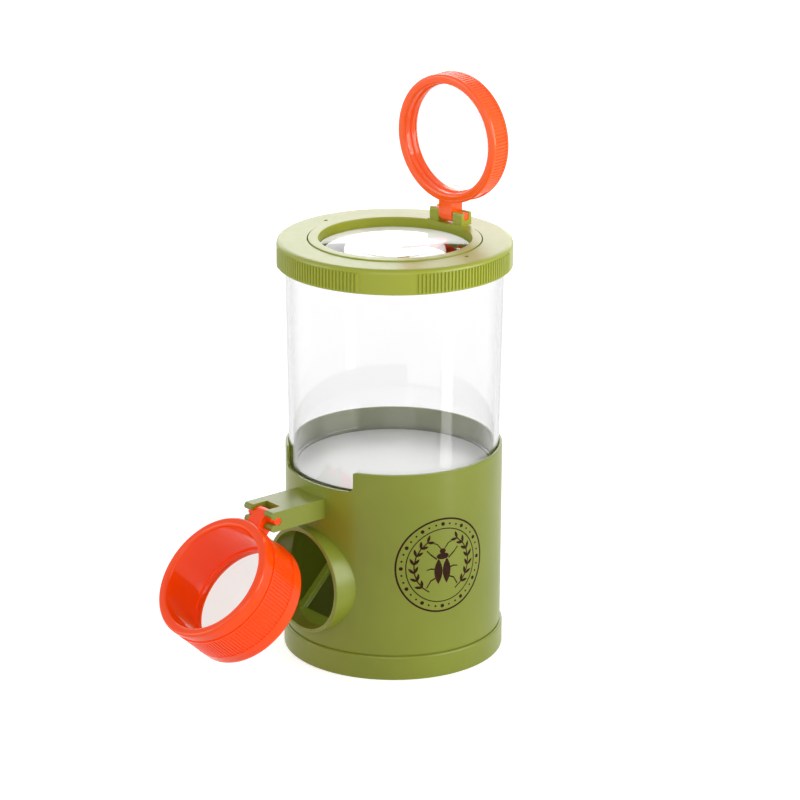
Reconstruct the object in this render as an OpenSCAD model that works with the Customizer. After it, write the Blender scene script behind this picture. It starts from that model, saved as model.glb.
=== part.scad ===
// Bug catcher jar: a clear jar under a lens lid, standing in a base with a mirror and a side eyepiece.
// Millimetres. +Z up, origin on the jar's axis where the base meets the table.
// The eyepiece is on the -Y side and the lid's hinge on the +Y side.
// Both magnifiers are drawn as they stand open.

/* [Jar] */
// Outer radius of the clear jar at its foot
jar_foot_r = 39.6; // [36:0.2:44]
// How much wider the jar is at its mouth than at its foot
jar_draft = 1.3; // [0.6:0.1:2]
// Height of the jar from foot to rim
jar_h = 87; // [75:1:105]
// Wall of the jar
jar_wall = 1.5; // [1.2:0.1:2]
// Thickness of the jar's floor
jar_floor_t = 1.8; // [1.4:0.1:2.4]
// Rounding of the jar's foot
jar_corner_r = 1; // [0.6:0.1:1.4]
// Fillet between the jar's floor and its wall
jar_fillet_r = 1.5; // [0.8:0.1:3]
// How far the bead round the jar's rim stands out
bead_out = 1.3; // [0.8:0.1:1.8]
// Height of the bead round the jar's rim
bead_h = 1.8; // [1.2:0.1:3]

/* [Base shell] */
// Height of the low part of the rim above the hinge arm
rim_over_arm = 4.6; // [3:0.1:8]
// Depth of the socket that the jar stands in
socket_depth = 10; // [9:0.5:11]
// Gap round the jar at the shell's rim
socket_gap = 0.3; // [0.15:0.05:0.5]
// Wall of the shell round the socket
rim_wall = 1; // [0.8:0.1:1.6]
// Wall of the shell below the socket
shell_wall = 1.6; // [1.4:0.1:2.2]
// Rounding of the rim's edges
rim_edge_r = 0.35; // [0.2:0.05:0.4]
// How far the ledge reaches in under the flat of the jar's foot
ledge_grip = 1; // [0.6:0.1:3]
// Thickness of the ledge under the jar
ledge_t = 1.8; // [1.2:0.1:2.4]
// Angle that the low part of the rim takes up
notch_angle = 56.6; // [48:0.2:64]
// Depth of the low part of the rim
notch_depth = 7.7; // [5:0.1:8]
// Rounding of the lower corners of the low part of the rim
notch_corner_r = 2.2; // [1:0.1:2.6]
// Rounding of its upper corners
notch_top_r = 0.8; // [0.4:0.1:1.2]

/* [Light tube] */
// How much smaller the tube's bore is than the eyepiece, at each side
tube_in = 5.15; // [4.6:0.05:7]
// Wall of the tube
tube_wall = 1.6; // [1.2:0.1:2]
// Height of the tube above the cover's wall
tube_foot = 5.15; // [3:0.05:8]
// How far the tube's mouth stands out from the shell
tube_out = 3.7; // [3:0.1:6]
// Rounding of the tube's mouth
tube_edge_r = 0.5; // [0.3:0.05:0.55]

/* [Bottom cover] */
// Height of the cover's wall
cover_h = 9.4; // [8:0.1:10]
// Wall of the cover
cover_wall = 1.2; // [1:0.1:1.6]
// Thickness of the cover's floor
cover_floor_t = 1.8; // [1.4:0.1:2.4]
// Gap between the cover's wall and the shell inside it
cover_gap = 0.05; // [0.03:0.01:0.1]
// How far the shell steps in where the cover takes it
spigot_step = 0.35; // [0.2:0.05:0.35]
// Shadow gap above the cover's wall
shadow_gap = 0.5; // [0.3:0.1:1]
// Rounding of the cover's top edge
cover_edge_r = 0.8; // [0.4:0.1:0.9]
// Rounding of the cover's bottom edge
cover_foot_r = 0.5; // [0.3:0.1:0.8]

/* [Mirror] */
// Distance from the mirror's lower corners to the edge of its carrier
mirror_inset = 5.1; // [4:0.1:8]
// Thickness of the mirror
mirror_t = 1.5; // [1:0.1:2]
// Depth of the mirror's middle below the tube's axis
mirror_drop = 2.1; // [1:0.1:3]

/* [Mirror carrier] */
// Height of the deck that the mirror stands on
deck_z = 9.4; // [7:0.1:10.5]
// Thickness of the deck
deck_t = 1.6; // [1.2:0.1:2]
// Gap between the carrier and the shell's wall
carrier_gap = 0.3; // [0.2:0.05:0.5]
// Wall of the carrier's two cheeks
cheek_t = 1.5; // [1.2:0.1:1.7]
// Thickness of the lips that hold the mirror's face
lip_t = 1.2; // [0.8:0.1:1.4]
// How far the lips lap over the mirror's face
lip_lap = 0.9; // [0.5:0.1:1.5]
// How far the rails reach in behind the mirror
rail_lap = 2.2; // [1.5:0.1:3]
// Thickness of the rails behind the mirror
rail_t = 1.5; // [1:0.1:2]
// Gap at the mirror's edges and face
mirror_gap = 0.1; // [0.05:0.05:0.2]
// Distance from the deck's edge in to the ring under it
deck_foot_in = 5.1; // [4:0.1:9]
// Wall of the ring under the deck
deck_foot_t = 1.6; // [1.2:0.1:2]

/* [Lid] */
// Height of the lid
lid_h = 9.3; // [8:0.1:12]
// Thickness of the lid's plate
lid_plate_t = 2; // [1.6:0.1:2.4]
// Wall of the lid's skirt between the ribs
lid_wall = 1.5; // [1.2:0.1:2.2]
// Gap between the jar's bead and the lid's skirt
lid_gap = 0.3; // [0.2:0.05:0.5]
// Height of the grip ribs
lid_rib_h = 0.5; // [0.25:0.05:0.6]
// Distance from one grip rib of the lid to the next
lid_rib_pitch = 1.45; // [1.3:0.05:2.2]
// Number of plain panels between the stretches of ribs
lid_panels = 4; // [2:1:6]
// Angle that each plain panel takes up
lid_panel_angle = 27.7; // [20:0.1:30]
// Angle from the lid's front to its first plain panel
lid_panel_from = 40.2; // [30:0.1:60]
// Rounding of the lid's top edge
lid_edge_r = 1.8; // [1:0.1:1.9]
// Plain band under the grip ribs
lid_foot_band = 0.6; // [0.4:0.1:1]
// Radius of the two air holes
air_hole_r = 0.8; // [0.5:0.1:1.1]
// Distance from the jar's inner wall in to the air holes
air_hole_in = 3.5; // [2:0.1:3.6]
// Angle by which the lid stands turned on the jar, in degrees
lid_turn = 6.4; // [-30:0.1:30]

/* [Lens ring] */
// How much smaller the ring that holds the lid's lens is than the jar's mouth, at each side
ring_in = 8.6; // [8:0.1:9.4]
// Wall of that ring round the lens
ring_wall = 2.1; // [1.8:0.1:2.4]
// Gap round the ring in the lid
ring_gap = 0.4; // [0.2:0.05:0.5]
// How far the ring stands above the lid
ring_proud = 0.4; // [0.3:0.1:0.6]
// Width of the ring seen from above
ring_w = 3.8; // [3.4:0.1:4.6]
// Rounding of the ring's edges
ring_edge_r = 0.4; // [0.2:0.05:0.5]
// Wall of the lid's collar round the ring
collar_wall = 1.6; // [1.2:0.1:1.8]
// Thickness of the lid's lip under the lens
lid_lip_t = 1.4; // [1:0.1:1.8]

/* [Lid lens] */
// Thickness of that lens at its rim
lid_lens_rim_t = 2; // [1.6:0.1:2.4]
// Height of the bulge on each face of that lens
lid_lens_bulge = 2.2; // [1.6:0.1:2.3]
// Depth of the lens rim's top below the ring's top
window_depth = 3.6; // [3.4:0.1:4]

/* [Magnifier frames] */
// Radius of both frames at the foot of their ribs
frame_r = 24.1; // [23.6:0.1:24.8]
// How far the lip stands out from that radius
lip_out = 0.4; // [0.4:0.05:0.5]
// Rounding of the lip's edges
lip_edge_r = 1.1; // [0.8:0.1:1.1]
// Wall of both frames in front of their lenses
frame_wall = 3.2; // [3:0.1:3.6]
// Height of the grip ribs on the frames
rib_h = 0.35; // [0.2:0.05:0.35]
// Distance from one grip rib of a frame to the next
rib_pitch = 1.35; // [1.2:0.05:2]
// Angle without ribs at each side of the hinge
rib_free_angle = 38; // [30:1:60]
// Thickness of the ledge in front of a lens
frame_ledge_t = 2; // [1.4:0.1:2.4]
// How far that ledge reaches in from the bore
frame_ledge_in = 0.6; // [0.5:0.1:0.8]
// Rounding of the ledge's front edge
frame_ledge_r = 0.4; // [0.2:0.1:0.4]
// Wall of both frames round their lenses
pocket_wall = 2.8; // [2.6:0.1:3]
// Radius taken off a lens or its ring to fit its pocket
lens_gap = 0.08; // [0.05:0.01:0.12]

/* [Upper magnifier] */
// Depth of the upper magnifier's frame
upper_depth = 8.5; // [8.4:0.1:12]
// Length of its lip
upper_lip_l = 1.4; // [1.2:0.1:1.8]
// Rounding of its back edge
upper_back_r = 0.6; // [0.4:0.1:0.8]
// Distance from its wall to its hinge pin's centre
upper_pin_out = 5; // [4.8:0.1:6]
// Distance from its lip back to the front of its tab
upper_tab_at = 0.1; // [0.05:0.05:0.3]
// Lean of the open magnifier towards the jar's axis, in degrees
upper_lean = 0.7; // [0:0.1:20]

/* [Eyepiece] */
// Depth of the eyepiece cup
cup_depth = 23.8; // [22:0.1:26]
// Length of its lip
cup_lip_l = 2.6; // [2:0.1:3.2]
// Width of the smooth band in front of its ribs
cup_band_w = 0.6; // [0.4:0.1:1]
// Distance from its lip to its ribs
cup_rib_from = 6.3; // [5:0.1:8]
// Distance from its lip to the end of its ribs
cup_rib_to = 17.8; // [16:0.1:18.5]
// Rounding of its lens end
cup_back_r = 2.2; // [1.5:0.1:2.6]
// Distance from its wall to its hinge pin's centre
cup_pin_out = 5.65; // [5.2:0.05:6.4]
// Distance from its lip back to its hinge pin's centre
cup_pin_set = 6.6; // [6.2:0.1:7]
// Angle by which the eyepiece stands open
cup_open = 42.3; // [10:0.1:60]
// Gap between the closed eyepiece and the tube's mouth
cup_gap = 0.3; // [0.2:0.05:0.6]

/* [Lenses in the frames] */
// Thickness of a lens at its rim
lens_rim_t = 1.6; // [1.4:0.1:1.8]
// Height of the bulge on each face of the upper lens
upper_bulge = 1.4; // [0.8:0.1:1.4]
// Height of the bulge on each face of the eyepiece lens
cup_bulge = 1.3; // [0.6:0.1:1.6]
// Length of the ring that holds the upper lens
upper_clip_l = 1.2; // [1:0.1:1.4]
// Length of the ring that holds the eyepiece lens
cup_clip_l = 1.9; // [1.2:0.1:2.4]
// Wall of both rings
clip_wall = 0.9; // [0.8:0.1:1.4]
// Rounding of their inner back edge
clip_edge_r = 0.4; // [0.2:0.1:0.5]
// Distance from both rings to the frame's end
clip_back = 0.3; // [0.2:0.1:0.5]

/* [Hinges] */
// Radius of the hinge pins
pin_r = 1.45; // [1.2:0.05:1.6]
// Running gap round a hinge pin
pin_gap = 0.08; // [0.05:0.01:0.1]
// Thickness of the tab that carries a pin
tab_t = 6; // [5.4:0.1:6.2]
// Side play between a tab and its fork
tab_play = 0.4; // [0.3:0.05:0.7]
// Width of the slit that a hinge pin is pressed in through
slit_w = 2.3; // [2:0.05:2.4]

/* [Hinge arm] */
// Width of the arm that carries the eyepiece
arm_w = 16.2; // [15:0.2:18]
// Height of the arm
arm_h = 7.7; // [7.4:0.1:8]
// Width of the slot between its two jaws
arm_slot_w = 7.8; // [7:0.1:8.6]
// Depth of the slot behind the pin's centre
arm_slot_in = 4.2; // [3.9:0.1:5.5]
// Reach of the jaws beyond the pin's centre
jaw_nose = 3.2; // [3:0.1:3.6]
// Wall of the arm round the pocket under it
arm_wall = 1.8; // [1.4:0.1:2.4]

/* [Lid hinge] */
// Width over the lid's two hinge posts
post_span = 16.2; // [15:0.1:17]
// Width of the slot between the posts
post_slot_w = 7.2; // [6.8:0.1:7.8]
// Thickness of the posts across the pin
post_t = 5.5; // [5.2:0.1:5.8]
// Gap between the tab's round end and the lens ring
post_rise = 0.4; // [0.3:0.05:0.8]
// Height of the posts above the pin's centre
post_top = 1.7; // [1.6:0.1:2.2]
// Distance from the lens ring's edge in to the pin's centre
post_in = 1.8; // [1.6:0.1:3]
// Height of the pad under each post
pad_h = 0.5; // [0.3:0.1:0.8]
// How far the pad stands out round the posts
pad_rim = 0.6; // [0.4:0.1:0.9]

/* [Hidden] */

// Facets of round surfaces
$fn = 96;
// Steps in a small rounding, and in the curve of a lens face
round_steps = 6;
lens_steps = 14;
// How far a cut runs past the face that it opens
cut = 1;
// Flat left round a lens's bulge, inside the ring or clip that holds its rim
face_gap = 0.2;
// How far the foot of a grip rib lies under the wall that carries it, and its end runs into a rounding
rib_sink = 0.2;

green = "#8fa63c";
orange = "#ff4f12";
clear = [0.86, 0.93, 0.95, 0.35];
silver = "#c9ced2";

// Magnifier frames
bore_r = frame_r - frame_wall;
eye_r = bore_r - frame_ledge_in;
lip_r = frame_r + lip_out;
pocket_r = lip_r - pocket_wall;
frame_lens_r = pocket_r - lens_gap;
lens_face_r = min(eye_r, frame_lens_r - clip_wall) - face_gap;
upper_lens_at = upper_depth - clip_back - upper_clip_l - lens_rim_t;
cup_lens_at = cup_depth - clip_back - cup_clip_l - lens_rim_t;
upper_rib_to = upper_depth - 2 * upper_back_r;
upper_drop = frame_r + upper_pin_out;
upper_pin_set = tab_t / 2 + upper_tab_at;
cup_drop = frame_r + cup_pin_out;

// Levels, from the table up
tube_bore_r = frame_r - tube_in;
tube_r = tube_bore_r + tube_wall;
tube_z = cover_h + tube_foot + tube_r;
pin_z = tube_z + cup_drop;
rim_z = pin_z + arm_h / 2 + rim_over_arm + notch_depth;
seat_z = rim_z - socket_depth;
jar_top_z = seat_z + jar_h;
lid_top_z = jar_top_z + lid_plate_t;
lid_foot_z = lid_top_z - lid_h;
ring_top_z = lid_top_z + ring_proud;
lens_top_z = ring_top_z - window_depth;
lens_foot_z = lens_top_z - lid_lens_rim_t;
ledge_z = seat_z - ledge_t;
post_pin_h = tab_t / 2 + post_rise;
post_pin_z = ring_top_z + post_pin_h;

// Radii that follow the jar's
jar_mouth_r = jar_foot_r + jar_draft;
bead_r = jar_mouth_r + bead_out;
socket_r = jar_foot_r + jar_draft * socket_depth / jar_h + socket_gap;
shell_r = socket_r + rim_wall;
shell_in_r = shell_r - shell_wall;
ledge_r = jar_foot_r - jar_corner_r - ledge_grip;
spigot_r = shell_r - spigot_step;
cover_in_r = spigot_r + cover_gap;
cover_r = cover_in_r + cover_wall;
carrier_r = shell_in_r - carrier_gap;
deck_foot_r = carrier_r - deck_foot_in;
lid_skirt_r = bead_r + lid_gap;
lid_root_r = lid_skirt_r + lid_wall;
air_hole_out = jar_mouth_r - jar_wall - air_hole_in;
ring_r = jar_mouth_r - ring_in;
window_r = ring_r - ring_w;
lid_pocket_r = ring_r - ring_wall;
lid_lens_r = lid_pocket_r - lens_gap;

// Hinge pins: distances of their centres from the jar's axis
tube_mouth_y = shell_r + tube_out;
pin_y = tube_mouth_y + cup_gap + cup_depth - cup_pin_set;
post_y = ring_r - post_in;
hole_r = pin_r + pin_gap;

// Mirror: its face is the plane z = y + mirror_mid_z, and its back lower edge stands on the deck
lean = 45;
mirror_mid_z = tube_z - mirror_drop;
mirror_foot_z = deck_z + mirror_t * sin(lean);
mirror_foot_y = mirror_foot_z - mirror_mid_z;
mirror_w = 2 * (sqrt(pow(carrier_r, 2) - pow(mirror_foot_y, 2)) - mirror_inset);
mirror_top_y = sqrt(pow(carrier_r, 2) - pow(mirror_w / 2, 2)) - mirror_t * sin(lean);
mirror_l = (mirror_top_y - mirror_foot_y) / cos(lean);

// Points of a quarter round from angle a, turning by 90 degrees, about (x, y)
function quarter(x, y, r, a, turn = 90) =
    [for (i = [0 : round_steps]) let (t = a + turn * i / round_steps) [x + r * cos(t), y + r * sin(t)]];

// Height of a lens face at radius x, for a bulge over a lens of radius r
function bulge_at(x, r, bulge) =
    let (ball = (r * r + bulge * bulge) / (2 * bulge)) sqrt(ball * ball - x * x) - (ball - bulge);

// Across one grip rib: the places of its flanks and crest, as shares of the pitch and of the height
rib_shares = [[-0.4, 0], [-0.2, 1], [0.2, 1], [0.4, 0]];

// Outline of a ring of grip ribs from foot_r out to crest_r. It is plain for an angle of panel degrees
// round X, and again at each further share of the circle when there are more panels.
function rib_points(foot_r, crest_r, pitch, panel, panels) =
    let (n = round(2 * PI * crest_r / pitch), step = 360 / n, sector = 360 / panels)
    [for (i = [0 : n - 1])
        let (a = i * step, off = abs((a + sector / 2) % sector - sector / 2))
        each off < panel / 2
            ? [[foot_r * cos(a), foot_r * sin(a)]]
            : [for (share = rib_shares)
                let (t = a + share[0] * step, r = foot_r + share[1] * (crest_r - foot_r))
                [r * cos(t), r * sin(t)]]];

// A band of grip ribs about the Z axis, sunk a little into the wall of radius root_r that carries it
module rib_band(root_r, height, pitch, panel, panels, h) {
    linear_extrude(h)
        difference() {
            polygon(rib_points(root_r - rib_sink, root_r + height, pitch, panel, panels));
            circle(root_r - 2 * rib_sink);
        }
}

// A lens about the Z axis: a flat rim from z = 0 up to rim_t, bulging within face_r
module lens_body(r, face_r, rim_t, bulge) {
    steps = [for (i = [0 : lens_steps]) face_r * i / lens_steps];
    rotate_extrude()
        polygon(concat(
            [for (x = steps) [x, -bulge_at(x, face_r, bulge)]],
            [[r, 0], [r, rim_t]],
            [for (i = [lens_steps : -1 : 0]) [steps[i], rim_t + bulge_at(steps[i], face_r, bulge)]]));
}

// Base shell

module notch_cutter() {
    half = shell_r * sin(notch_angle / 2);
    floor_z = rim_z - notch_depth;
    translate([0, -shell_in_r / 2, floor_z])
        rotate([90, 0, 0])
            linear_extrude(shell_r) {
                translate([-half, notch_corner_r])
                    square([2 * half, notch_depth + cut]);
                translate([notch_corner_r - half, 0])
                    square([2 * (half - notch_corner_r), notch_depth + cut]);
                for (side = [-1, 1]) {
                    translate([side * (half - notch_corner_r), notch_corner_r])
                        circle(notch_corner_r);
                    difference() {
                        translate([side * (half + notch_top_r / 2), notch_depth])
                            square([notch_top_r, 2 * notch_top_r], center = true);
                        translate([side * (half + notch_top_r), notch_depth - notch_top_r])
                            circle(notch_top_r);
                    }
                }
            }
}

module shell_outside() {
    step_z = cover_h + shadow_gap;
    rotate_extrude()
        polygon(concat(
            [[0, cover_floor_t], [spigot_r, cover_floor_t], [spigot_r, step_z], [shell_r, step_z]],
            quarter(shell_r - rim_edge_r, rim_z - rim_edge_r, rim_edge_r, 0),
            [[0, rim_z]]));
}

module shell_cavity() {
    rotate_extrude()
        polygon([[0, cover_floor_t - cut], [shell_in_r, cover_floor_t - cut], [shell_in_r, ledge_z],
            [ledge_r, ledge_z], [ledge_r, seat_z], [socket_r, seat_z], [socket_r, rim_z + cut],
            [0, rim_z + cut]]);
}

// The tube, from the jar's axis out to its rounded mouth
module light_tube() {
    translate([0, 0, tube_z])
        rotate([90, 0, 0])
            rotate_extrude()
                polygon(concat(
                    [[tube_bore_r, 0], [tube_r, 0]],
                    quarter(tube_r - tube_edge_r, tube_mouth_y - tube_edge_r, tube_edge_r, 0),
                    [[tube_bore_r, tube_mouth_y]]));
}

// Outline of a jaw seen along the pin, with the pin's centre at the origin and its slit towards +X.
// Beyond the pin it is two prongs with round tips.
module jaw_outline(back, nose, half) {
    tip_r = (half - slit_w / 2) / 2;
    difference() {
        union() {
            translate([-back, -half])
                square([back, 2 * half]);
            for (side = [-1, 1])
                translate([0, side * (half - tip_r)]) {
                    translate([0, -tip_r])
                        square([nose - tip_r, 2 * tip_r]);
                    translate([nose - tip_r, 0])
                        circle(tip_r);
                }
        }
        circle(hole_r);
    }
}

module hinge_arm() {
    slot_end_y = pin_y - arm_slot_in;
    jaw_w = (arm_w - arm_slot_w) / 2;
    // The two jaws, each a plate across the pin
    for (side = [-1, 1])
        translate([side * (arm_slot_w + jaw_w) / 2, -pin_y, pin_z])
            rotate([90, 0, -90])
                linear_extrude(jaw_w, center = true)
                    jaw_outline(arm_slot_in + cut, jaw_nose, arm_h / 2);
    // The bar, with its pocket open below
    difference() {
        translate([-arm_w / 2, -slot_end_y, pin_z - arm_h / 2])
            cube([arm_w, slot_end_y - shell_in_r + shell_wall / 2, arm_h]);
        translate([arm_wall - arm_w / 2, arm_wall - slot_end_y, pin_z - arm_h / 2 - cut])
            cube([arm_w - 2 * arm_wall, slot_end_y - shell_r - 2 * arm_wall, arm_h - arm_wall + cut]);
    }
}

module base_shell() {
    color(green)
        difference() {
            union() {
                shell_outside();
                light_tube();
                hinge_arm();
            }
            shell_cavity();
            notch_cutter();
            translate([0, 0, tube_z])
                rotate([90, 0, 0])
                    cylinder(r = tube_bore_r, h = tube_mouth_y + cut);
        }
}

// Bottom cover

module bottom_cover() {
    color(green)
        rotate_extrude()
            polygon(concat(
                [[0, 0]],
                quarter(cover_r - cover_foot_r, cover_foot_r, cover_foot_r, -90),
                quarter(cover_r - cover_edge_r, cover_h - cover_edge_r, cover_edge_r, 0),
                [[cover_in_r, cover_h], [cover_in_r, cover_floor_t], [0, cover_floor_t]]));
}

// Mirror and its carrier

module on_mirror_plane() {
    translate([0, mirror_foot_y, mirror_foot_z])
        rotate([lean, 0, 0])
            children();
}

module mirror_plate() {
    color(silver)
        on_mirror_plane()
            translate([-mirror_w / 2, 0, -mirror_t])
                cube([mirror_w, mirror_l, mirror_t]);
}

// One cheek: a wall beside the mirror, a lip over its face and a rail behind it
module cheek() {
    inner_x = mirror_w / 2 + mirror_gap;
    outer_x = inner_x + cheek_t;
    top_y = sqrt(pow(carrier_r, 2) - pow(outer_x, 2)) - carrier_gap;
    lip_rise = lip_t / cos(lean);
    foot_y = deck_z - mirror_mid_z - lip_rise;
    translate([inner_x, 0, 0])
        rotate([90, 0, 90])
            linear_extrude(cheek_t)
                polygon([[foot_y, deck_z], [top_y, deck_z], [top_y, top_y + mirror_mid_z + lip_rise]]);
    intersection() {
        on_mirror_plane() {
            translate([mirror_w / 2 - lip_lap, -lip_t, mirror_gap])
                cube([lip_lap + 2 * mirror_gap, mirror_l + lip_t, lip_t - mirror_gap]);
            translate([mirror_w / 2 - rail_lap, -mirror_t, -mirror_t - rail_t])
                cube([rail_lap + 2 * mirror_gap, mirror_l + mirror_t, rail_t]);
        }
        translate([0, foot_y, deck_z])
            cube([outer_x, top_y - foot_y, mirror_l]);
        translate([0, 0, deck_z])
            cylinder(r = carrier_r, h = mirror_l);
    }
}

module mirror_carrier() {
    color(green) {
        translate([0, 0, deck_z - deck_t])
            cylinder(r = carrier_r, h = deck_t);
        translate([0, 0, cover_floor_t])
            difference() {
                cylinder(r = deck_foot_r, h = deck_z - deck_t - cover_floor_t);
                translate([0, 0, -cut])
                    cylinder(r = deck_foot_r - deck_foot_t, h = deck_z + cut);
            }
        cheek();
        mirror([1, 0, 0])
            cheek();
    }
}

// Jar

module jar() {
    slope = jar_draft / jar_h;
    floor_z = seat_z + jar_floor_t;
    corner_top_r = jar_foot_r + slope * jar_corner_r;
    fillet_x = jar_foot_r + slope * (jar_floor_t + jar_fillet_r) - jar_wall - jar_fillet_r;
    bead_z = jar_top_z - bead_h;
    color(clear)
        rotate_extrude()
            polygon(concat(
                [[0, seat_z]],
                quarter(corner_top_r - jar_corner_r, seat_z + jar_corner_r, jar_corner_r, -90),
                [[jar_mouth_r - slope * bead_h - slope * bead_out, bead_z - bead_out], [bead_r, bead_z],
                    [bead_r, jar_top_z], [jar_mouth_r - jar_wall, jar_top_z]],
                quarter(fillet_x, floor_z + jar_fillet_r, jar_fillet_r, 0, -90),
                [[0, floor_z]]));
}

// Lid

// Turns the lid and all that it carries to where it stands on the jar
module on_lid() {
    rotate(lid_turn)
        children();
}

module lid_cap() {
    collar_r = ring_r + ring_gap + collar_wall;
    hole_in_r = ring_r + ring_gap;
    plate_z = lid_top_z - lid_plate_t;
    lip_z = lens_foot_z - lid_lip_t;
    color(green)
        on_lid()
            difference() {
                union() {
                    rotate_extrude()
                        polygon(concat(
                            [[lid_skirt_r, lid_foot_z], [lid_root_r, lid_foot_z]],
                            quarter(lid_root_r - lid_edge_r, lid_top_z - lid_edge_r, lid_edge_r, 0),
                            [[hole_in_r, lid_top_z], [hole_in_r, lens_foot_z], [window_r, lens_foot_z],
                                [window_r, lip_z], [collar_r, lip_z], [collar_r, plate_z],
                                [lid_skirt_r, plate_z]]));
                    translate([0, 0, lid_foot_z + lid_foot_band])
                        rotate(lid_panel_from - 90)
                            rib_band(lid_root_r, lid_rib_h, lid_rib_pitch, lid_panel_angle, lid_panels,
                                lid_h - lid_foot_band - lid_edge_r + rib_sink);
                }
                for (side = [-1, 1])
                    translate([side * air_hole_out, 0, plate_z - cut])
                        cylinder(r = air_hole_r, h = lid_plate_t + 2 * cut, $fn = 24);
            }
}

// Lens ring with its hinge posts

// Block under the posts, straight across the ring's window edge, that rises above the ring's top
module post_foot(from_x, w, rise) {
    sunk = window_depth / 2;
    intersection() {
        translate([0, 0, ring_top_z - sunk])
            cylinder(r = ring_r - ring_edge_r, h = sunk + rise);
        translate([from_x, post_y - post_t / 2 - pad_rim, ring_top_z - sunk])
            cube([w, ring_r, sunk + rise]);
    }
}

module lens_ring() {
    post_w = (post_span - post_slot_w) / 2;
    pad_w = post_w + pad_rim;
    color(green)
        on_lid() {
            rotate_extrude()
                polygon(concat(
                    [[lid_pocket_r, lens_foot_z], [ring_r, lens_foot_z]],
                    quarter(ring_r - ring_edge_r, ring_top_z - ring_edge_r, ring_edge_r, 0),
                    quarter(window_r + ring_edge_r, ring_top_z - ring_edge_r, ring_edge_r, 90),
                    [[window_r, lens_top_z], [lid_pocket_r, lens_top_z]]));
            // A block flush with the ring below both posts, and a low pad round the foot of each
            post_foot(-post_slot_w / 2 - pad_w, post_slot_w + 2 * pad_w, 0);
            for (side = [-1, 1]) {
                post_foot(side * (post_slot_w + pad_w) / 2 - pad_w / 2, pad_w, pad_h);
                translate([side * (post_slot_w + post_w) / 2, post_y, post_pin_z])
                    rotate([0, -90, 0])
                        linear_extrude(post_w, center = true)
                            jaw_outline(post_pin_h, post_top, post_t / 2);
            }
        }
}

module lid_lens() {
    color(clear)
        on_lid()
            translate([0, 0, lens_foot_z])
                lens_body(lid_lens_r, window_r - face_gap, lid_lens_rim_t, lid_lens_bulge);
}

// Magnifier frames
// A frame is drawn with its pin's centre at the origin, its window below the pin and its lip towards -Y.

// Outline of a frame's wall, as radius and distance from the lip. Inside, a straight bore runs to the ledge,
// and the lens lies in an open pocket behind it. Outside, the ribs lie between the lip or a band of its
// height and another band at the back.
function frame_outline(depth, lip_l, band_w, rib_from, rib_to, back_r, lens_at) =
    let (ledge_at = lens_at - frame_ledge_t)
    concat(
        quarter(bore_r + lip_edge_r, lip_edge_r, lip_edge_r, 180),
        quarter(lip_r - lip_edge_r, lip_edge_r, lip_edge_r, -90),
        [[lip_r, lip_l], [frame_r, lip_l]],
        band_w > 0
            ? [[frame_r, rib_from - band_w], [lip_r, rib_from - band_w],
                [lip_r, rib_from], [frame_r, rib_from]]
            : [],
        [[frame_r, rib_to], [lip_r, rib_to]],
        quarter(lip_r - back_r, depth - back_r, back_r, 0),
        [[pocket_r, depth], [pocket_r, lens_at], [eye_r, lens_at]],
        quarter(eye_r + frame_ledge_r, ledge_at + frame_ledge_r, frame_ledge_r, 180),
        [[bore_r, ledge_at]]);

// Turns what is drawn about Z, from the lip up, to a frame's window axis
module on_frame_axis(drop, pin_set) {
    translate([0, -pin_set, -drop])
        rotate([-90, 0, 0])
            children();
}

// A frame's wall with the ribs that stop on both sides of the tab
module frame_wall(outline, rib_from, rib_to) {
    rotate_extrude()
        polygon(outline);
    translate([0, 0, rib_from - rib_sink])
        rotate(-90)
            rib_band(frame_r, rib_h, rib_pitch, 2 * rib_free_angle, 1, rib_to - rib_from + 2 * rib_sink);
}

// The tab stands up from the wall, rounded about the pin that runs through it
module frame_tab(tab_w, pin_l, pin_out) {
    root = pin_out + frame_wall / 2;
    translate([-tab_w / 2, -tab_t / 2, -root])
        cube([tab_w, tab_t, root]);
    rotate([0, 90, 0]) {
        cylinder(r = tab_t / 2, h = tab_w, center = true);
        cylinder(r = pin_r, h = pin_l, center = true, $fn = 48);
    }
}

// A ring that starts at the lens's rim, rounded at its inner edge
module clip_ring(length) {
    inner_r = frame_lens_r - clip_wall;
    translate([0, 0, lens_rim_t])
        rotate_extrude()
            polygon(concat(
                [[frame_lens_r, 0], [frame_lens_r, length]],
                quarter(inner_r + clip_edge_r, length - clip_edge_r, clip_edge_r, 90),
                [[inner_r, 0]]));
}

// Upper magnifier: stands up from the posts, lip towards the jar's axis
module upper_place() {
    on_lid()
        translate([0, post_y, post_pin_z])
            rotate([upper_lean, 0, 0])
                rotate([0, 180, 0])
                    children();
}

module upper_lens_place() {
    upper_place()
        on_frame_axis(upper_drop, upper_pin_set)
            translate([0, 0, upper_lens_at])
                children();
}

module upper_frame() {
    color(orange)
        upper_place() {
            on_frame_axis(upper_drop, upper_pin_set)
                frame_wall(
                    frame_outline(upper_depth, upper_lip_l, 0, upper_lip_l, upper_rib_to, upper_back_r,
                        upper_lens_at),
                    upper_lip_l, upper_rib_to);
            frame_tab(post_slot_w - 2 * tab_play, post_span - tab_play, upper_pin_out);
        }
}

module upper_lens() {
    color(clear)
        upper_lens_place()
            lens_body(frame_lens_r, lens_face_r, lens_rim_t, upper_bulge);
}

module upper_lens_clip() {
    color(orange)
        upper_lens_place()
            clip_ring(upper_clip_l);
}

// Eyepiece: hangs from the arm's jaws, swung out and up from the tube's mouth
module cup_place() {
    translate([0, -pin_y, pin_z])
        rotate([-cup_open, 0, 0])
            children();
}

module cup_lens_place() {
    cup_place()
        on_frame_axis(cup_drop, cup_pin_set)
            translate([0, 0, cup_lens_at])
                children();
}

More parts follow.
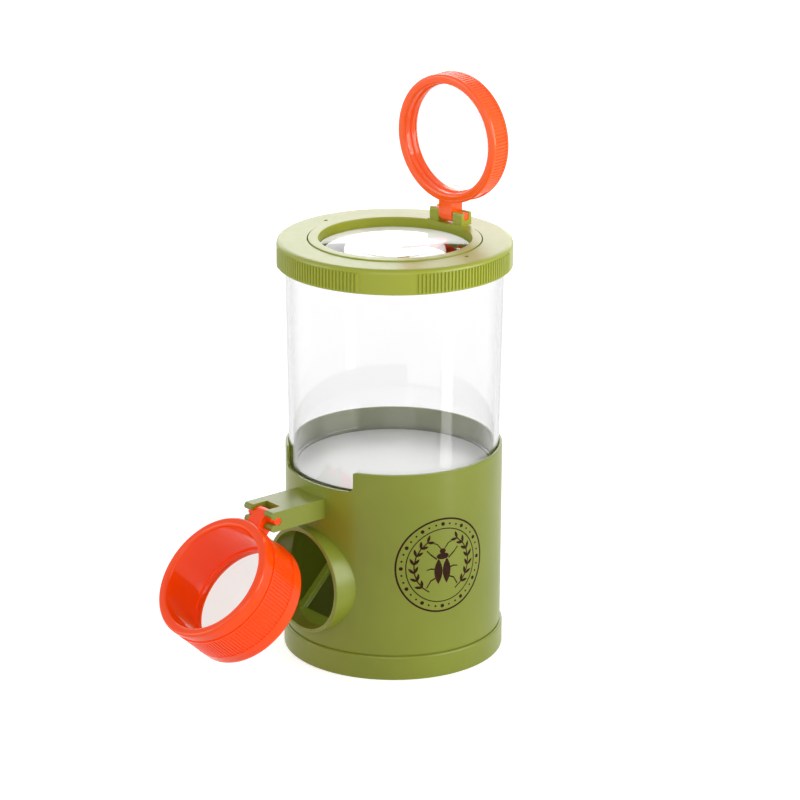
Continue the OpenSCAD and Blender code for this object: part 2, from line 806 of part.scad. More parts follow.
module eyepiece_cup() {
    color(orange)
        cup_place() {
            on_frame_axis(cup_drop, cup_pin_set)
                frame_wall(
                    frame_outline(cup_depth, cup_lip_l, cup_band_w, cup_rib_from, cup_rib_to, cup_back_r,
                        cup_lens_at),
                    cup_rib_from, cup_rib_to);
            frame_tab(arm_slot_w - 2 * tab_play, arm_w - tab_play, cup_pin_out);
        }
}

module eyepiece_lens() {
    color(clear)
        cup_lens_place()
            lens_body(frame_lens_r, lens_face_r, lens_rim_t, cup_bulge);
}

module eyepiece_lens_clip() {
    color(orange)
        cup_lens_place()
            clip_ring(cup_clip_l);
}

base_shell();
bottom_cover();
mirror_carrier();
mirror_plate();
jar();
lid_cap();
lens_ring();
lid_lens();
upper_frame();
upper_lens();
upper_lens_clip();
eyepiece_cup();
eyepiece_lens();
eyepiece_lens_clip();
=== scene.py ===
"""Looks for the bug catcher jar: a clear jar with a lens lid on a base with a mirror and an eyepiece."""

import math

import bmesh
import bpy
from mathutils import Matrix, Vector


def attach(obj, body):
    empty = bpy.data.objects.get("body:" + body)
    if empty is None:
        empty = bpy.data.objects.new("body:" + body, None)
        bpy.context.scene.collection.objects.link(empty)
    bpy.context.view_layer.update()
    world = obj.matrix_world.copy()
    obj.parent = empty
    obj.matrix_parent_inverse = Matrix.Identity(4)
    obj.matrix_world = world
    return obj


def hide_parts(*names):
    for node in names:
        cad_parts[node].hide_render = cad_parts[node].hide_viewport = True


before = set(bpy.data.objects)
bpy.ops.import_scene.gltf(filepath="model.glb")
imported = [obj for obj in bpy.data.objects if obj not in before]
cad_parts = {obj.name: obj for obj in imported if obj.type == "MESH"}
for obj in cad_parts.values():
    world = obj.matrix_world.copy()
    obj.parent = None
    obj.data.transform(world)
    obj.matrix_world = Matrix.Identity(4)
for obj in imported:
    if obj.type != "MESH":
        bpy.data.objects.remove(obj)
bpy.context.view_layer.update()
MM = 0.001

# Colours of the surfaces; some are lighter copies, or greys, that hold painted light or shade
OLIVE = "#828B2A"
OLIVE_DEEP = "#788124"
# Lid: the shell's olive made lighter, painted light for the extra light that falls on the lid from above
LID_PAINTED_LIGHT_OLIVE = "#A4AC2C"
LID_PAINTED_LIGHT_OLIVE_DEEP = "#9CA427"
# Mirror carrier: the olive made lighter, painted light that lifts the shaded inside of the base
CARRIER_PAINTED_LIGHT_OLIVE = "#9BAC39"
CARRIER_PAINTED_LIGHT_OLIVE_DEEP = "#93A434"
ORANGE = "#FF4C03"
ORANGE_DEEP = "#FB4201"
# Upper frame: the orange made lighter and more yellow, painted light for the extra light it gets from above
UPPER_PAINTED_LIGHT_ORANGE = "#FF5E14"
UPPER_PAINTED_LIGHT_ORANGE_DEEP = "#FD5410"
CLEAR = "#FFFFFF"
CLEAR_WALL = "#FCFCFC"
# The grey below is painted shade for the jar's edges seen edge-on
CLEAR_EDGE_SHADE = "#CDCDCE"
FROST = "#FFFFFF"
FROST_DEEP = "#F4F4F6"
SILVER = "#E9ECEE"
INK = "#2C1203"
INK_WORN = "#4A3510"
PAPER = "#E2E2E3"
TENT = "#FFFFFF"

# Index of refraction of each clear or coated plastic
ABS_IOR = 1.53
JAR_IOR = 1.55
FROST_IOR = 1.59
ACRYLIC_IOR = 1.49
INK_IOR = 1.48

# Sizes of the surface patterns
FLOW_PATCH = 35 * MM
SKIN_RIPPLE = 1.2 * MM
SKIN_DEPTH = 0.02 * MM
SCUFF_PITCH = 3 * MM
SCUFF_STRETCH = 0.12
SMEAR = 25 * MM
SPARK_PIT = 0.5 * MM
SPARK_DEPTH = 0.05 * MM
FROST_CLOUD = 30 * MM
FILM_WAVE = 12 * MM
FILM_DEPTH = 0.05 * MM
INK_THIN_SPOT = 0.9 * MM

# How much rougher or smoother the scuffs make a gloss
SCUFF_SMOOTHER = 0.015
SCUFF_ROUGHER = 0.03

# Light levels: the tent's own light, and how far the paper is lifted to white for the eye and in glass
TENT_LIGHT = 0.29
PAPER_LIFT = 0.62
PAPER_LIFT_IN_GLASS = 0.43

# Softboxes: bearing in degrees to the right of the camera, then distance, height, width and tallness in
# metres, and radiance. The strip is small and near, and gives the narrow streak in the jar.
SOFTBOXES = {
    "back_softbox": (180, 1.6, 0.8, 2.4, 1.2, 1.9),
    "right_softbox": (66, 1.5, 0.45, 1.2, 1.0, 4.6),
    "front_softbox": (-5, 1.5, 0.6, 1.0, 0.9, 2.1),
    "left_softbox": (-82, 1.4, 0.5, 0.8, 1.0, 2.4),
    "strip_softbox": (55, 0.22, 0.032, 0.045, 0.064, 1.7),
}
SOFTBOX_AIM_Z = 100 * MM
FLOOR_HALF = 6.0

# Camera: where it looks, from where, and its lens
VIEW_AZIMUTH = math.radians(49.64)
VIEW_ELEVATION = math.radians(18.3)
VIEW_ROLL = math.radians(0.31)
VIEW_DISTANCE = 1207 * MM
VIEW_SIDE = 2.23 * MM
VIEW_HEIGHT = 96.7 * MM
LENS = 144.0
SENSOR = 36.0

# Jar, in millimetres: radii from its axis and heights above the table
JAR_FOOT_R = 39.6
JAR_MOUTH_R = 40.9
JAR_FOOT_Z = 71.0
JAR_TOP_Z = 158.0
JAR_WALL = 1.5
JAR_FLOOR = 1.8
JAR_CORNER_R = 1.0
JAR_FILLET_R = 1.5
BEAD_R = 42.2
BEAD_H = 1.8
FROST_R = 36.6
ROUND_STEPS = 8
TURN_STEPS = 160
MERGE_DISTANCE = 0.001 * MM
NEAR = 0.1 * MM
SHARP_ANGLE = math.radians(35)

# Lenses, in millimetres: radius, radius of the curved face, rim thickness, height of the bulge
LID_LENS = (30.12, 28.3, 2.0, 3.2)
UPPER_LENS = (21.62, 20.1, 1.6, 1.4)
EYEPIECE_LENS = (21.62, 20.1, 1.6, 1.3)
LENS_STEPS = 24
LENS_EDGE_R = 0.25
LENS_EDGE_STEPS = 3

# Where the lenses sit, in millimetres: each small lens stands in a frame that hangs from its pin
LID_TURN = math.radians(6.4)
LID_LENS_Z = 154.8
UPPER_PIN = (0, 30.5, 163.8)
UPPER_LEAN = math.radians(0.7)
UPPER_DROP = 29.1
UPPER_SET = 3.1
UPPER_LENS_AT = 5.4
EYEPIECE_PIN = (0, -62.249, 64.85)
EYEPIECE_OPEN = math.radians(42.3)
EYEPIECE_DROP = 29.75
EYEPIECE_SET = 6.6
EYEPIECE_LENS_AT = 20.0

# Printed badge on the base, in millimetres: where it is, and its two rings as (outer, inner) radius
SHELL_R = 41.05
BADGE_ANGLE = math.radians(76.3)
BADGE_Z = 44.4
BADGE_RINGS = ((18.6, 17.9), (14.6, 14.2))
INK_PROUD = 0.03
STRIPS_A_SIDE = 19
CUT_TOLERANCE = 0.0001
RING_SEGMENTS = 96
DISC_SEGMENTS = 48
DOT_SEGMENTS = 16
LEAF_SEGMENTS = 24
LEAF_NARROWING = 0.38

# Row of dots between the rings: every third one is big
DOTS = 36
DOT_ROW_R = 16.25
DOT_R = 0.4
BIG_DOT_R = 0.75

# Beetle, right half: head and neck shield as (height, half width, half height), wing case as (across,
# height, length and width factor of its leaf), feeler as its corners, legs as (height at the body, rise to
# the knee, rise from knee to foot)
HEAD = (5.6, 1.25, 1.0)
NECK_SHIELD = (3.6, 2.5, 1.25)
WING_CASE = (1.72, -2.3, 5.0, 4.4)
FEELER = ((0.6, 6.3), (2.4, 8.6), (3.6, 8.9))
FEELER_WIDTH = 0.4
LEGS = ((2.6, 2.2, 1.6), (-1.4, 0.5, -0.4), (-4.6, -1.2, -2.6))
HIP_X = 2.4
KNEE_X = 5.0
FOOT_X = 6.4
KNEE_OVERLAP = 0.1
THIGH_WIDTH = 0.55
SHIN_WIDTH = 0.45

# Sprig, right side: its stem follows an arc in steps, in degrees, and each step carries a pair of leaves
STEM_R = 11.4
STEM_START = -62
STEM_STEP = 17
STEM_POINTS = 8
STEM_WIDTH = 0.45
LEAF_LEAN = 38
LEAF_REACH = 1.5
LEAF_SIZE = (1.6, 1.5)


def linear(hex_colour):
    """An sRGB hex colour as linear RGBA."""
    channels = [int(hex_colour[i:i + 2], 16) / 255 for i in (1, 3, 5)]
    return [c / 12.92 if c <= 0.04045 else ((c + 0.055) / 1.055) ** 2.4 for c in channels] + [1.0]


def add(tree, kind, settings=None, inputs=None, links=None):
    """Adds one shader node: its settings, its own socket values and its incoming links."""
    made = tree.nodes.new(kind)
    for name, value in (settings or {}).items():
        setattr(made, name, value)
    for name, value in (inputs or {}).items():
        made.inputs[name].default_value = value
    for name, source in (links or {}).items():
        tree.links.new(source, made.inputs[name])
    return made


def new_material(name):
    """An empty material and its node tree."""
    material = bpy.data.materials.new(name)
    material.use_nodes = True
    material.node_tree.nodes.clear()
    return material, material.node_tree


def set_ramp(ramp, *stops):
    """Gives a colour ramp its stops, as (position, hex colour)."""
    marks = ramp.color_ramp.elements
    while len(marks) < len(stops):
        marks.new(1.0)
    for mark, (position, colour) in zip(marks, stops):
        mark.position = position
        mark.color = linear(colour)


def moulded_abs(name, main, deep, roughness, gloss_level, painted_glow=0.0):
    """ABS from a polished mould: an even colour with a faint flow pattern, a fine orange-peel skin and a
    gloss that hairline scuffs vary a little. A faint painted glow, an emission that is the same in light and
    in shade, stands in for the light that comes through its thin wall."""
    material, tree = new_material(name)
    place = add(tree, "ShaderNodeTexCoord").outputs["Object"]
    # Soft patches where the melt flowed
    flow = add(tree, "ShaderNodeTexNoise", inputs={"Scale": 1 / FLOW_PATCH, "Detail": 3.0, "Roughness": 0.5},
               links={"Vector": place})
    tone = add(tree, "ShaderNodeValToRGB", links={"Fac": flow.outputs["Fac"]})
    set_ramp(tone, (0.3, deep), (0.7, main))
    # Skin of the mould, drawn a little coarser than real so that it shows
    skin = add(tree, "ShaderNodeTexNoise", inputs={"Scale": 1 / SKIN_RIPPLE, "Detail": 2.0},
               links={"Vector": place})
    peel = add(tree, "ShaderNodeBump", inputs={"Strength": 0.05, "Distance": SKIN_DEPTH},
               links={"Height": skin.outputs["Fac"]})
    # Hairline scuffs along the height
    stretch = add(tree, "ShaderNodeMapping", inputs={"Scale": (1.0, 1.0, SCUFF_STRETCH)},
                  links={"Vector": place})
    scuff = add(tree, "ShaderNodeTexNoise",
                inputs={"Scale": 1 / SCUFF_PITCH, "Detail": 3.0, "Roughness": 0.5},
                links={"Vector": stretch.outputs["Vector"]})
    gloss = add(tree, "ShaderNodeMapRange",
                inputs={"From Min": 0.35, "From Max": 0.7,
                        "To Min": roughness - SCUFF_SMOOTHER, "To Max": roughness + SCUFF_ROUGHER},
                links={"Value": scuff.outputs["Fac"]})
    # Emission of the main colour: a painted glow that lifts the part in shade as much as in light
    shader = add(tree, "ShaderNodeBsdfPrincipled",
                 inputs={"IOR": ABS_IOR, "Specular IOR Level": gloss_level,
                         "Emission Color": linear(main), "Emission Strength": painted_glow},
                 links={"Base Color": tone.outputs["Color"], "Roughness": gloss.outputs["Result"],
                        "Normal": peel.outputs["Normal"]})
    add(tree, "ShaderNodeOutputMaterial", links={"Surface": shader.outputs[0]})
    return material


def clear_moulding(name, ior, face, edge):
    """Clear styrene or acrylic: glassy, with a faint film of handling marks, and painted shade: a little
    grey where the eye looks along the wall, standing in for the dark edges that refraction gives."""
    material, tree = new_material(name)
    place = add(tree, "ShaderNodeTexCoord").outputs["Object"]
    slant = add(tree, "ShaderNodeLayerWeight", inputs={"Blend": 0.5})
    # Painted shade: grey where the wall is seen edge-on
    painted_edge_shade = add(tree, "ShaderNodeValToRGB", links={"Fac": slant.outputs["Facing"]})
    set_ramp(painted_edge_shade, (0.55, face), (1.0, edge))
    film = add(tree, "ShaderNodeTexNoise", inputs={"Scale": 1 / SMEAR, "Detail": 5.0},
               links={"Vector": place})
    gloss = add(tree, "ShaderNodeMapRange", inputs={"From Min": 0.4, "From Max": 0.8, "To Max": 0.02},
                links={"Value": film.outputs["Fac"]})
    shader = add(tree, "ShaderNodeBsdfPrincipled", inputs={"IOR": ior, "Transmission Weight": 1.0},
                 links={"Base Color": painted_edge_shade.outputs["Color"], "Roughness": gloss.outputs["Result"]})
    add(tree, "ShaderNodeOutputMaterial", links={"Surface": shader.outputs[0]})
    return material


def frosted_floor(name):
    """The jar's floor, from a sparked mould: pale, matt and only a little see-through."""
    material, tree = new_material(name)
    place = add(tree, "ShaderNodeTexCoord").outputs["Object"]
    # The pits that sparks leave in a mould
    pits = add(tree, "ShaderNodeTexNoise", inputs={"Scale": 1 / SPARK_PIT, "Detail": 3.0},
               links={"Vector": place})
    bump = add(tree, "ShaderNodeBump", inputs={"Strength": 0.15, "Distance": SPARK_DEPTH},
               links={"Height": pits.outputs["Fac"]})
    cloud = add(tree, "ShaderNodeTexNoise", inputs={"Scale": 1 / FROST_CLOUD, "Detail": 2.0},
                links={"Vector": place})
    tone = add(tree, "ShaderNodeValToRGB", links={"Fac": cloud.outputs["Fac"]})
    set_ramp(tone, (0.3, FROST_DEEP), (0.7, FROST))
    shader = add(tree, "ShaderNodeBsdfPrincipled",
                 inputs={"IOR": FROST_IOR, "Roughness": 0.3, "Transmission Weight": 0.25},
                 links={"Base Color": tone.outputs["Color"], "Normal": bump.outputs["Normal"]})
    add(tree, "ShaderNodeOutputMaterial", links={"Surface": shader.outputs[0]})
    return material


def mirror_film(name):
    """Metallised film: nearly a glass mirror, with the slight waviness of thin plastic."""
    material, tree = new_material(name)
    place = add(tree, "ShaderNodeTexCoord").outputs["Object"]
    ripple = add(tree, "ShaderNodeTexNoise", inputs={"Scale": 1 / FILM_WAVE, "Detail": 2.0},
                 links={"Vector": place})
    bump = add(tree, "ShaderNodeBump", inputs={"Strength": 0.05, "Distance": FILM_DEPTH},
               links={"Height": ripple.outputs["Fac"]})
    shader = add(tree, "ShaderNodeBsdfPrincipled",
                 inputs={"Base Color": linear(SILVER), "Metallic": 1.0, "Roughness": 0.04},
                 links={"Normal": bump.outputs["Normal"]})
    add(tree, "ShaderNodeOutputMaterial", links={"Surface": shader.outputs[0]})
    return material


def pad_print_ink(name):
    """Pad-printed ink: thin, matt and dark brown, a little thin in places where the pad lifted."""
    material, tree = new_material(name)
    place = add(tree, "ShaderNodeTexCoord").outputs["Object"]
    worn = add(tree, "ShaderNodeTexNoise",
               inputs={"Scale": 1 / INK_THIN_SPOT, "Detail": 4.0, "Roughness": 0.7},
               links={"Vector": place})
    tone = add(tree, "ShaderNodeValToRGB", links={"Fac": worn.outputs["Fac"]})
    set_ramp(tone, (0.56, INK), (0.68, INK_WORN))
    shader = add(tree, "ShaderNodeBsdfPrincipled",
                 inputs={"IOR": INK_IOR, "Specular IOR Level": 0.12, "Roughness": 0.55},
                 links={"Base Color": tone.outputs["Color"]})
    add(tree, "ShaderNodeOutputMaterial", links={"Surface": shader.outputs[0]})
    return material


def studio_paper(name):
    """White paper sweep: it takes the object's shadow, and shows white to the eye and in gloss and glass."""
    material, tree = new_material(name)
    path = add(tree, "ShaderNodeLightPath")
    shown = add(tree, "ShaderNodeMath", {"operation": "MAXIMUM"},
                links={0: path.outputs["Is Glossy Ray"], 1: path.outputs["Is Transmission Ray"]})
    glassy = add(tree, "ShaderNodeMath", {"operation": "MULTIPLY"}, {1: PAPER_LIFT_IN_GLASS},
                 {0: shown.outputs[0]})
    lift = add(tree, "ShaderNodeMath", {"operation": "MULTIPLY_ADD"}, {1: PAPER_LIFT},
               {0: path.outputs["Is Camera Ray"], 2: glassy.outputs[0]})
    paper = add(tree, "ShaderNodeBsdfDiffuse", inputs={"Color": linear(PAPER)})
    white = add(tree, "ShaderNodeEmission", links={"Strength": lift.outputs[0]})
    both = add(tree, "ShaderNodeAddShader", links={0: paper.outputs[0], 1: white.outputs[0]})
    add(tree, "ShaderNodeOutputMaterial", links={"Surface": both.outputs[0]})
    return material


def dress(node, material):
    """Gives a CAD node its material."""
    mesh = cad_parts[node].data
    mesh.materials.clear()
    mesh.materials.append(material)


def arc(x, z, radius, start, sweep, steps):
    """Points of an arc about (x, z), from an angle in degrees through a sweep."""
    angles = [math.radians(start + sweep * i / steps) for i in range(steps + 1)]
    return [(x + radius * math.cos(a), z + radius * math.sin(a)) for a in angles]


def make_piece(name, mesh, materials, body, replaced=None):
    """Turns a finished bmesh into a piece that rides on a body."""
    data = bpy.data.meshes.new(name)
    mesh.to_mesh(data)
    mesh.free()
    data.shade_smooth()
    data.set_sharp_from_angle(angle=SHARP_ANGLE)
    for material in materials:
        data.materials.append(material)
    piece = bpy.data.objects.new(name, data)
    bpy.context.scene.collection.objects.link(piece)
    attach(piece, body)
    if replaced:
        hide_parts(replaced)
    return piece


def order_faces(mesh):
    """Sorts the faces by their corners, because a spin leaves them in another order at each run."""
    mesh.verts.index_update()

    def rank(face):
        total = 0
        for index in sorted(vert.index for vert in face.verts):
            total = total * len(mesh.verts) + index
        return total

    mesh.faces.sort(key=rank)


def turn_outline(outline):
    """A solid of revolution about Z from an outline of (radius, height) in millimetres."""
    mesh = bmesh.new()
    verts = [mesh.verts.new((x * MM, 0, z * MM)) for x, z in outline]
    edges = [mesh.edges.new(pair) for pair in zip(verts, verts[1:])]
    bmesh.ops.spin(mesh, geom=verts + edges, cent=(0, 0, 0), axis=(0, 0, 1), dvec=(0, 0, 0),
                   angle=math.tau, steps=TURN_STEPS, use_merge=True)
    bmesh.ops.remove_doubles(mesh, verts=mesh.verts, dist=MERGE_DISTANCE)
    bmesh.ops.recalc_face_normals(mesh, faces=mesh.faces)
    order_faces(mesh)
    return mesh


def make_jar(clear, frosted):
    """The jar, with a frosted disc as its floor."""
    slope = (JAR_MOUTH_R - JAR_FOOT_R) / (JAR_TOP_Z - JAR_FOOT_Z)
    floor_z = JAR_FOOT_Z + JAR_FLOOR
    bead_z = JAR_TOP_Z - BEAD_H
    corner_x = JAR_FOOT_R + slope * JAR_CORNER_R - JAR_CORNER_R
    fillet_x = JAR_FOOT_R + slope * (JAR_FLOOR + JAR_FILLET_R) - JAR_WALL - JAR_FILLET_R
    neck_r = JAR_MOUTH_R - slope * BEAD_H
    mesh = turn_outline(
        [(0, JAR_FOOT_Z)]
        + arc(corner_x, JAR_FOOT_Z + JAR_CORNER_R, JAR_CORNER_R, -90, 90, ROUND_STEPS)
        + [(neck_r, bead_z - (BEAD_R - neck_r)), (BEAD_R, bead_z), (BEAD_R, JAR_TOP_Z),
           (JAR_MOUTH_R - JAR_WALL, JAR_TOP_Z)]
        + arc(fillet_x, floor_z + JAR_FILLET_R, JAR_FILLET_R, 0, -90, ROUND_STEPS)
        + [(FROST_R, floor_z), (0, floor_z)])
    for face in mesh.faces:
        middle = face.calc_center_median()
        if abs(middle.z - floor_z * MM) < NEAR and middle.xy.length < FROST_R * MM:
            face.material_index = 1
    return make_piece("jar_clear", mesh, [clear, frosted], "jar_body", "jar")


def lens_outline(radius, face_r, rim, bulge):
    """Half the section of a lens with two bulging faces and a flat rim with broken edges."""
    ball = (face_r ** 2 + bulge ** 2) / (2 * bulge)
    half = math.degrees(math.asin(face_r / ball))
    return (arc(0, ball - bulge, ball, -90, half, LENS_STEPS)
            + arc(radius - LENS_EDGE_R, LENS_EDGE_R, LENS_EDGE_R, -90, 90, LENS_EDGE_STEPS)
            + arc(radius - LENS_EDGE_R, rim - LENS_EDGE_R, LENS_EDGE_R, 0, 90, LENS_EDGE_STEPS)
            + arc(0, rim + bulge - ball, ball, 90 - half, half, LENS_STEPS))


def frame_place(pin, swing, drop, setback, lens_at):
    """Where a lens stands in a frame that hangs from its pin: swing turns the frame about the pin."""
    return (Matrix.Translation(Vector(pin) * MM) @ swing
            @ Matrix.Translation(Vector((0, -setback, -drop)) * MM)
            @ Matrix.Rotation(math.radians(-90), 4, "X") @ Matrix.Translation((0, 0, lens_at * MM)))


def make_lens(name, sizes, place, material, body, node):
    """A lens turned from its section and put in its place."""
    mesh = turn_outline(lens_outline(*sizes))
    bmesh.ops.transform(mesh, matrix=place, verts=mesh.verts)
    return make_piece(name, mesh, [material], body, node)


def flat_disc(mesh, place, segments=DISC_SEGMENTS):
    """A filled disc of radius 1, put in place."""
    bmesh.ops.create_circle(mesh, cap_ends=True, segments=segments, radius=1, matrix=place)


def flat_leaf(mesh, place):
    """A leaf 2 long with pointed ends: a disc pinched in towards both ends."""
    made = bmesh.ops.create_circle(mesh, cap_ends=True, segments=LEAF_SEGMENTS, radius=1)
    for vert in made["verts"]:
        vert.co.y *= LEAF_NARROWING * math.sqrt(max(0.0, 1 - vert.co.x ** 2))
    bmesh.ops.transform(mesh, matrix=place, verts=made["verts"])


def flat_bar(mesh, start, end, width):
    """A straight stroke between two points."""
    start, end = Vector(start), Vector(end)
    run = end - start
    place = (Matrix.Translation(((start + end) / 2).to_3d())
             @ Matrix.Rotation(math.atan2(run.y, run.x), 4, "Z")
             @ Matrix.Diagonal((run.length, width, 1, 1)))
    bmesh.ops.create_grid(mesh, x_segments=1, y_segments=1, size=0.5, matrix=place)


def flat_ring(mesh, outer, inner):
    """A ring between two radii."""
    edges = []
    for radius in (outer, inner):
        verts = bmesh.ops.create_circle(mesh, cap_ends=False, segments=RING_SEGMENTS, radius=radius)["verts"]
        edges += list({edge for vert in verts for edge in vert.link_edges})
    bmesh.ops.bridge_loops(mesh, edges=edges)


def spot(x, y, across, along=None, turn=0.0):
    """Place and half sizes of a flat shape."""
    return (Matrix.Translation((x, y, 0)) @ Matrix.Rotation(math.radians(turn), 4, "Z")
            @ Matrix.Diagonal((across, along or across, 1, 1)))


def draw_beetle_half(mesh, side):
    """One wing case, feeler and three legs: side is 1 for the right half and -1 for the left."""
    case_x, case_y, length, width = WING_CASE
    flat_leaf(mesh, spot(side * case_x, case_y, length, width, 90))
    for (x0, y0), (x1, y1) in zip(FEELER, FEELER[1:]):
        flat_bar(mesh, (side * x0, y0), (side * x1, y1), FEELER_WIDTH)
    for y, knee_rise, foot_rise in LEGS:
        knee_y = y + knee_rise
        flat_bar(mesh, (side * HIP_X, y), (side * KNEE_X, knee_y), THIGH_WIDTH)
        flat_bar(mesh, (side * (KNEE_X - KNEE_OVERLAP), knee_y - KNEE_OVERLAP),
                 (side * FOOT_X, knee_y + foot_rise), SHIN_WIDTH)


def draw_sprig(mesh, side):
    """A stem in short strokes with leaves on both sides."""
    bearings = [STEM_START + STEM_STEP * i for i in range(STEM_POINTS)]
    stem = [(side * (STEM_R * math.cos(a)), STEM_R * math.sin(a)) for a in map(math.radians, bearings)]
    for start, end in zip(stem, stem[1:]):
        flat_bar(mesh, start, end, STEM_WIDTH)
    for bearing, (x, y) in zip(bearings[1:], stem[1:]):
        along = bearing + 90
        for lean in (-LEAF_LEAN, LEAF_LEAN):
            turn = along + lean if side > 0 else 180 - along - lean
            flat_leaf(mesh, spot(x + LEAF_REACH * math.cos(math.radians(turn)),
                                 y + LEAF_REACH * math.sin(math.radians(turn)), *LEAF_SIZE, turn))


def make_badge(ink):
    """The printed badge: a beetle between two leafy sprigs, in a double ring with a row of dots.
    It is drawn flat in millimetres, cut into strips 1 mm wide and bent round the base."""
    mesh = bmesh.new()
    for outer, inner in BADGE_RINGS:
        flat_ring(mesh, outer, inner)
    for i in range(DOTS):
        angle = math.tau * i / DOTS
        size = BIG_DOT_R if i % 3 == 0 else DOT_R
        flat_disc(mesh, spot(DOT_ROW_R * math.cos(angle), DOT_ROW_R * math.sin(angle), size), DOT_SEGMENTS)
    for height, half_width, half_height in (HEAD, NECK_SHIELD):
        flat_disc(mesh, spot(0, height, half_width, half_height))
    for side in (-1, 1):
        draw_beetle_half(mesh, side)
        draw_sprig(mesh, side)
    bmesh.ops.triangulate(mesh, faces=mesh.faces)
    for i in range(-STRIPS_A_SIDE, STRIPS_A_SIDE + 1):
        bmesh.ops.bisect_plane(mesh, geom=mesh.verts[:] + mesh.edges[:] + mesh.faces[:], dist=CUT_TOLERANCE,
                               plane_co=(i, 0, 0), plane_no=(1, 0, 0))
    bmesh.ops.reverse_faces(mesh, faces=[face for face in mesh.faces if face.normal.z < 0])
    radius = SHELL_R + INK_PROUD
    for vert in mesh.verts:
        angle = BADGE_ANGLE + vert.co.x / SHELL_R
        vert.co = Vector((radius * math.sin(angle), -radius * math.cos(angle), BADGE_Z + vert.co.y)) * MM
    mesh.normal_update()
    return make_piece("badge_print", mesh, [ink], "base")


def make_floor(paper):
    """The sheet of paper that the object stands on."""
    mesh = bmesh.new()
    bmesh.ops.create_grid(mesh, x_segments=1, y_segments=1, size=FLOOR_HALF)
    data = bpy.data.meshes.new("floor")
    mesh.to_mesh(data)
    mesh.free()
    floor = bpy.data.objects.new("floor", data)
    bpy.context.scene.collection.objects.link(floor)
    data.materials.append(paper)


def make_world():
    """A white tent: dim for the light it gives, white to the eye and in gloss and glass."""
    world = bpy.data.worlds.new("studio")
    bpy.context.scene.world = world
    world.use_nodes = True
    tree = world.node_tree
    tree.nodes.clear()
    path = add(tree, "ShaderNodeLightPath")
    mirrored = add(tree, "ShaderNodeMath", {"operation": "MAXIMUM"},
                   links={0: path.outputs["Is Glossy Ray"], 1: path.outputs["Is Transmission Ray"]})
    shown = add(tree, "ShaderNodeMath", {"operation": "MAXIMUM"},
                links={0: path.outputs["Is Camera Ray"], 1: mirrored.outputs[0]})
    level = add(tree, "ShaderNodeMapRange", inputs={"To Min": TENT_LIGHT, "To Max": 1.0},
                links={"Value": shown.outputs[0]})
    sky = add(tree, "ShaderNodeBackground", inputs={"Color": linear(TENT)},
              links={"Strength": level.outputs["Result"]})
    add(tree, "ShaderNodeOutputWorld", links={"Surface": sky.outputs[0]})


def make_softbox(name, bearing, distance, height, width, tall, radiance):
    """A softbox that faces the jar and gives the same brightness at any size."""
    data = bpy.data.lights.new(name, "AREA")
    data.shape = "RECTANGLE"
    data.size = width
    data.size_y = tall
    data.energy = radiance * math.pi * width * tall
    light = bpy.data.objects.new(name, data)
    bpy.context.scene.collection.objects.link(light)
    around = VIEW_AZIMUTH + math.radians(bearing)
    place = Vector((distance * math.sin(around), -distance * math.cos(around), height))
    aim = Vector((0, 0, SOFTBOX_AIM_Z))
    turn = (place - aim).to_track_quat("Z", "Y").to_matrix().to_4x4()
    light.matrix_world = Matrix.Translation(place) @ turn
    light.visible_camera = False


def make_camera():
    """The camera, at the photograph's viewing angle."""
    back = Vector((math.sin(VIEW_AZIMUTH) * math.cos(VIEW_ELEVATION),
                   -math.cos(VIEW_AZIMUTH) * math.cos(VIEW_ELEVATION),
                   math.sin(VIEW_ELEVATION)))
    target = Vector((VIEW_SIDE * math.cos(VIEW_AZIMUTH), VIEW_SIDE * math.sin(VIEW_AZIMUTH), VIEW_HEIGHT))
    data = bpy.data.cameras.new("camera")
    data.lens = LENS
    data.sensor_width = SENSOR
    camera = bpy.data.objects.new("camera", data)
    bpy.context.scene.collection.objects.link(camera)
    turn = back.to_track_quat("Z", "Y").to_matrix().to_4x4() @ Matrix.Rotation(VIEW_ROLL, 4, "Z")
    camera.matrix_world = Matrix.Translation(target + back * VIEW_DISTANCE) @ turn
    bpy.context.scene.camera = camera
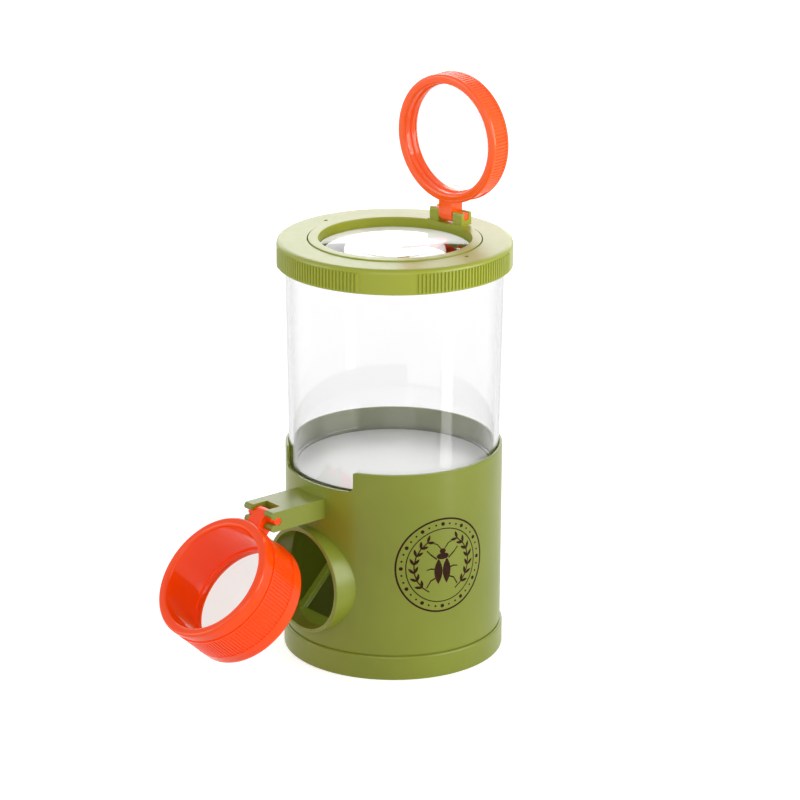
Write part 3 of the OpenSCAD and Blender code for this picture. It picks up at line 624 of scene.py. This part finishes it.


# Each glow below is painted light: an emission that lifts the part where it is in shade
olive = moulded_abs("olive_abs", OLIVE, OLIVE_DEEP, roughness=0.3, gloss_level=0.4, painted_glow=0.05)
# Lid: the shell's olive made lighter, painted light
lid_painted_light_olive = moulded_abs("lid_painted_light_olive_abs", LID_PAINTED_LIGHT_OLIVE, LID_PAINTED_LIGHT_OLIVE_DEEP, roughness=0.3, gloss_level=0.5)
# Mirror carrier: the olive made lighter and glowing, painted light for the shaded inside of the base
carrier_painted_light_olive = moulded_abs("carrier_painted_light_olive_abs", CARRIER_PAINTED_LIGHT_OLIVE, CARRIER_PAINTED_LIGHT_OLIVE_DEEP,
                            roughness=0.3, gloss_level=0.5, painted_glow=0.13)
orange = moulded_abs("orange_abs", ORANGE, ORANGE_DEEP, roughness=0.12, gloss_level=0.28, painted_glow=0.12)
# Upper frame: the orange made lighter, painted light
upper_painted_light_orange = moulded_abs("upper_painted_light_orange_abs", UPPER_PAINTED_LIGHT_ORANGE, UPPER_PAINTED_LIGHT_ORANGE_DEEP,
                           roughness=0.12, gloss_level=0.4, painted_glow=0.2)
# The jar's grey edges are painted shade
styrene = clear_moulding("clear_styrene", JAR_IOR, CLEAR_WALL, CLEAR_EDGE_SHADE)
acrylic = clear_moulding("clear_acrylic", ACRYLIC_IOR, CLEAR, CLEAR)
frosted = frosted_floor("frosted_styrene")
silver = mirror_film("mirror_film")
ink = pad_print_ink("pad_print_ink")

for node in ("base_shell", "bottom_cover"):
    dress(node, olive)
for node in ("lid_cap", "lens_ring"):
    dress(node, lid_painted_light_olive)
dress("mirror_carrier", carrier_painted_light_olive)
for node in ("eyepiece_cup", "eyepiece_lens_clip"):
    dress(node, orange)
for node in ("upper_frame", "upper_lens_clip"):
    dress(node, upper_painted_light_orange)
dress("jar", styrene)
for node in ("lid_lens", "upper_lens", "eyepiece_lens"):
    dress(node, acrylic)
dress("mirror_plate", silver)

on_lid = Matrix.Rotation(LID_TURN, 4, "Z")
upper_swing = Matrix.Rotation(UPPER_LEAN, 4, "X") @ Matrix.Rotation(math.radians(180), 4, "Y")
eyepiece_swing = Matrix.Rotation(-EYEPIECE_OPEN, 4, "X")
make_jar(styrene, frosted)
make_lens("lid_lens_clear", LID_LENS, Matrix.Translation((0, 0, LID_LENS_Z * MM)),
          acrylic, "lid", "lid_lens")
make_lens("upper_lens_clear", UPPER_LENS,
          on_lid @ frame_place(UPPER_PIN, upper_swing, UPPER_DROP, UPPER_SET, UPPER_LENS_AT),
          acrylic, "upper_magnifier", "upper_lens")
make_lens("eyepiece_lens_clear", EYEPIECE_LENS,
          frame_place(EYEPIECE_PIN, eyepiece_swing, EYEPIECE_DROP, EYEPIECE_SET, EYEPIECE_LENS_AT),
          acrylic, "eyepiece", "eyepiece_lens")
make_badge(ink)

make_floor(studio_paper("studio_paper"))
make_world()
for name, setting in SOFTBOXES.items():
    make_softbox(name, *setting)
make_camera()
bpy.context.scene.view_settings.view_transform = "Standard"
